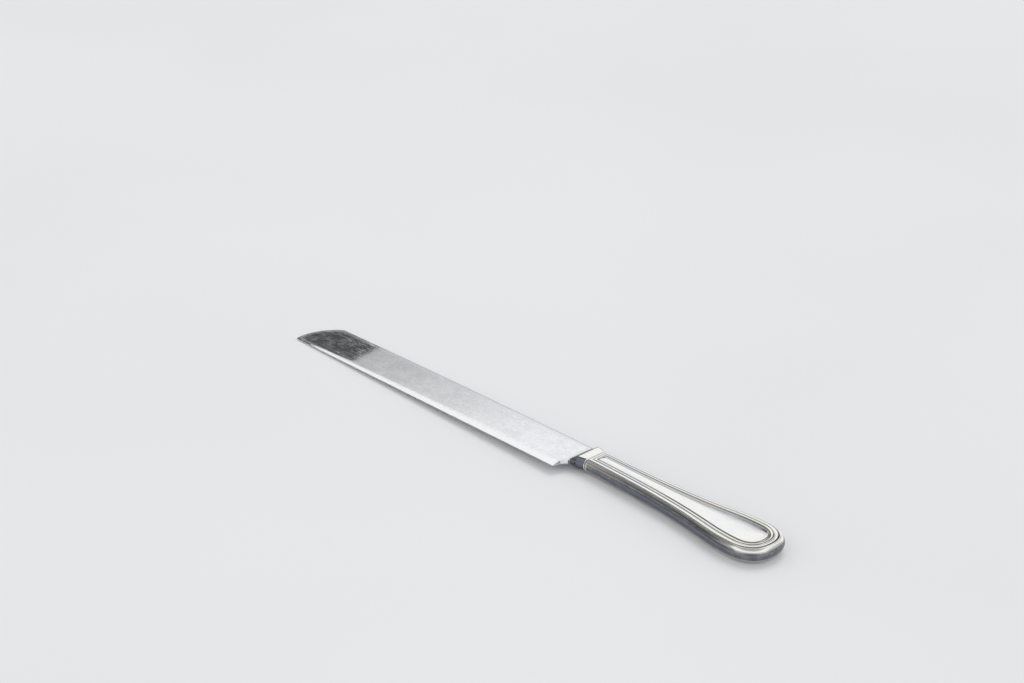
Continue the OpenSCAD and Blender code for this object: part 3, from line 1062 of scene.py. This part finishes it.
def make_floor():
    """A wide flat sheet just under the knife."""
    mesh = bpy.data.meshes.new("floor")
    corners = [(x * floor_half, y * floor_half, floor_z) for x, y in ((-1, -1), (1, -1), (1, 1), (-1, 1))]
    mesh.from_pydata(corners, [], [(0, 1, 2, 3)])
    mesh.materials.append(paper_finish())
    floor = bpy.data.objects.new("floor", mesh)
    bpy.context.scene.collection.objects.link(floor)


make_floor()


# The lamps and the room, with angles in degrees and lengths in metres

key_azimuth, key_elevation, key_strength, key_softness = 120, 55, 0.22, 35
umbrella_azimuth, umbrella_elevation, umbrella_distance = 142.2, 45.5, 0.45
umbrella_radius, umbrella_radiance, umbrella_aim = 0.255, 0.9, (-0.06, 0, 0)
room_seen, room_reflected = 0.78, 0.92

# Edges of the umbrella's light: a way across and up its face, two heights along it and the share left

umbrella_edges = (
    (0.0, 1.0, -0.93, -0.58, 0.5),
    (0.66, 0.75, -1.02, -0.6, 0.55),
    (0.0, -1.0, -0.98, -0.25, 0.4),
)

# Cards that only reflections show: azimuth, elevation, half width, soft edge, and how dark or bright

dark_cards = (
    (140, 40, 36, 12, 0.93),
    (0, 90, 20, 16, 0.6),
    (190, 34, 22, 12, 0.78),
    (222, 8, 24, 12, 0.7),
    (-42, 5, 18, 20, 0.5),
    (48, 10, 18, 18, 0.45),
)
bright_cards = (
    (122, 2, 12, 9, 0.5),
    (226, 18, 4, 9, 0.3),
)


def heading(azimuth, elevation):
    """The unit vector towards an azimuth and an elevation in degrees."""
    a, e = math.radians(azimuth), math.radians(elevation)
    return np.array([math.cos(a) * math.cos(e), math.sin(a) * math.cos(e), math.sin(e)])


def facing(way):
    """The turn that points a lamp or a camera against the unit heading way, with its side level."""
    side = np.cross([0, 0, 1], way)
    side = side / np.linalg.norm(side)
    return Matrix((side, np.cross(way, side), way)).transposed().to_4x4()


def dim_edges(lamp):
    """The light of the umbrella falls off softly at its lower edge, its lower left and its top.

    Along each edge's way it falls off between the two heights, which are shares of the radius.
    """
    lamp.data.use_nodes = True
    tree = lamp.data.node_tree
    radius, turn = lamp.data.size / 2, lamp.matrix_world.to_3x3()
    spot = tree.nodes.new("ShaderNodeNewGeometry").outputs["Position"]
    offset = vector_maths(tree, "SUBTRACT", spot, lamp.matrix_world.translation)
    strength = 1.0
    for across, up, low, high, left in umbrella_edges:
        height = vector_maths(tree, "DOT_PRODUCT", offset, turn @ Vector((across, up, 0)))
        share = spread(tree, height, low * radius, high * radius, left, 1.0)
        strength = maths(tree, "MULTIPLY", share, strength)
    tree.links.new(strength, tree.nodes["Emission"].inputs["Strength"])


def back_umbrella():
    """The round soft umbrella that the metal mirrors. It doesn't light the matte surfaces.

    Its power is the radiance of its face times pi times its area.
    """
    data = bpy.data.lights.new("back_umbrella", "AREA")
    data.shape = "DISK"
    data.size = 2 * umbrella_radius
    data.energy = umbrella_radiance * math.pi * math.pi * umbrella_radius**2
    lamp = bpy.data.objects.new("back_umbrella", data)
    bpy.context.scene.collection.objects.link(lamp)
    way = heading(umbrella_azimuth, umbrella_elevation)
    lamp.matrix_world = Matrix.Translation(np.array(umbrella_aim) + way * umbrella_distance) @ facing(way)
    lamp.visible_diffuse = False
    dim_edges(lamp)


def key_lamp():
    """A wide soft lamp from far off that lights the matte surfaces and isn't mirrored in the metal."""
    data = bpy.data.lights.new("key_lamp", "SUN")
    data.energy, data.angle = key_strength * math.pi, math.radians(key_softness)
    lamp = bpy.data.objects.new("key_lamp", data)
    lamp.matrix_world = facing(heading(key_azimuth, key_elevation))
    lamp.visible_glossy = False
    bpy.context.scene.collection.objects.link(lamp)


def toward(tree, direction, azimuth, elevation, half, soft):
    """How near a direction is to a heading: 1 within half degrees of it, falling to 0 over soft degrees."""
    nearness = vector_maths(tree, "DOT_PRODUCT", direction, heading(azimuth, elevation))
    return spread(tree, nearness, math.cos(math.radians(half + soft)), math.cos(math.radians(half)))


def studio_room():
    """The pale room: even for matte surfaces, and with dark and bright cards for reflections."""
    world = bpy.data.worlds.new("studio")
    bpy.context.scene.world = world
    world.use_nodes = True
    tree = world.node_tree
    direction = tree.nodes.new("ShaderNodeTexCoord").outputs["Generated"]
    reflected = room_reflected
    for *place, dark in dark_cards:
        left = maths(tree, "MULTIPLY_ADD", toward(tree, direction, *place), -dark, 1.0)
        reflected = maths(tree, "MULTIPLY", reflected, left)
    for *place, bright in bright_cards:
        reflected = maths(tree, "MULTIPLY_ADD", toward(tree, direction, *place), bright, reflected)
    seen = tree.nodes.new("ShaderNodeMix")
    tree.links.new(tree.nodes.new("ShaderNodeLightPath").outputs["Is Glossy Ray"], seen.inputs["Factor"])
    seen.inputs["A"].default_value = room_seen
    tree.links.new(reflected, seen.inputs["B"])
    tree.links.new(seen.outputs["Result"], tree.nodes["Background"].inputs["Strength"])
    tree.nodes["Background"].inputs["Color"].default_value = (1.0, 1.0, 1.0, 1)


back_umbrella()
key_lamp()
studio_room()


# The camera

# Its heading in degrees and its distance in millimetres, both from the part's origin
view_azimuth, view_elevation, view_distance = -42.256, 25.347, 912.48
# In pixels, the photograph's size, the focal length, and the part's origin in the photograph
photo_w, photo_h, focal = 1024, 683, 2026.6
origin_right, origin_down = 677.10, 511.20
# Width of the sensor in millimetres
sensor = 36.0


def place_camera():
    """The camera where the photograph was taken."""
    back = heading(view_azimuth, view_elevation)
    turn = facing(back)
    right, up = np.array(turn.col[0][:3]), np.array(turn.col[1][:3])
    across, down = (origin_right - photo_w / 2) / focal, (origin_down - photo_h / 2) / focal
    place = view_distance * (back - across * right + down * up) * MM
    data = bpy.data.cameras.new("camera")
    data.sensor_width = sensor
    data.lens = focal / photo_w * sensor
    data.clip_start, data.clip_end = 0.01, 50.0
    camera = bpy.data.objects.new("camera", data)
    bpy.context.scene.collection.objects.link(camera)
    camera.matrix_world = Matrix.Translation(place) @ turn
    bpy.context.scene.camera = camera


place_camera()
bpy.context.scene.view_settings.view_transform = "Standard"
